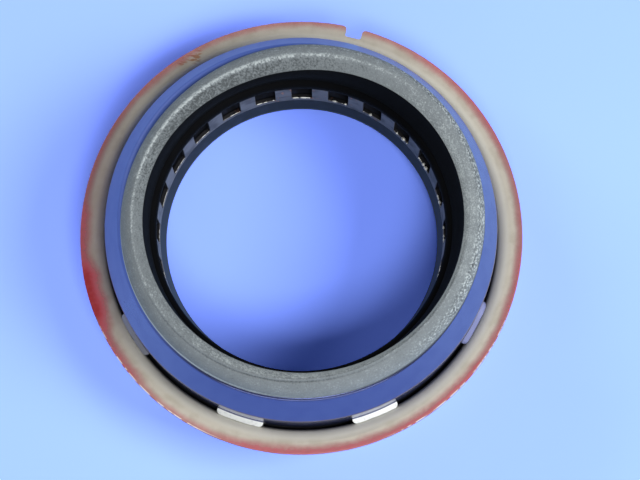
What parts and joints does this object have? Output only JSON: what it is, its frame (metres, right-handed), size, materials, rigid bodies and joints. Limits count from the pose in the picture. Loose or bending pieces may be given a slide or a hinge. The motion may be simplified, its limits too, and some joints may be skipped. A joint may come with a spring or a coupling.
{
  "type": "radial shaft seal",
  "caption": "Flanged radial shaft seal in a pressed steel case, with a tabbed dust shield, a rubber nose ring and a slotted sleeve behind the sprung lip.",
  "frame": {"origin": "centre of the foot of the case, on the shaft's axis", "axes": "+Z along the shaft's axis from the oil side to the air side; +Y towards the notch side of the rim"},
  "size_m": [0.096, 0.096, 0.033],
  "materials": {
    "case_steel": "matt grey-tan passivated sheet, red sealant at the rim",
    "carrier_steel": "plain pressed sheet",
    "lip_rubber": "glossy, moulded",
    "spring_steel": "bright drawn wire",
    "sleeve_steel": "dark sheet with bright cut edges",
    "shield_steel": "smooth drawn sheet, blue passivated",
    "nose_rubber": "matt, grainy, grey with dust"
  },
  "bodies": {
    "root": {"outer_case": "case_steel", "inner_case": "carrier_steel", "seal_lip": "lip_rubber", "garter_spring": "spring_steel", "slotted_sleeve": "sleeve_steel", "dust_shield": "shield_steel", "nose_ring": "nose_rubber"}
  },
  "joints": []
}
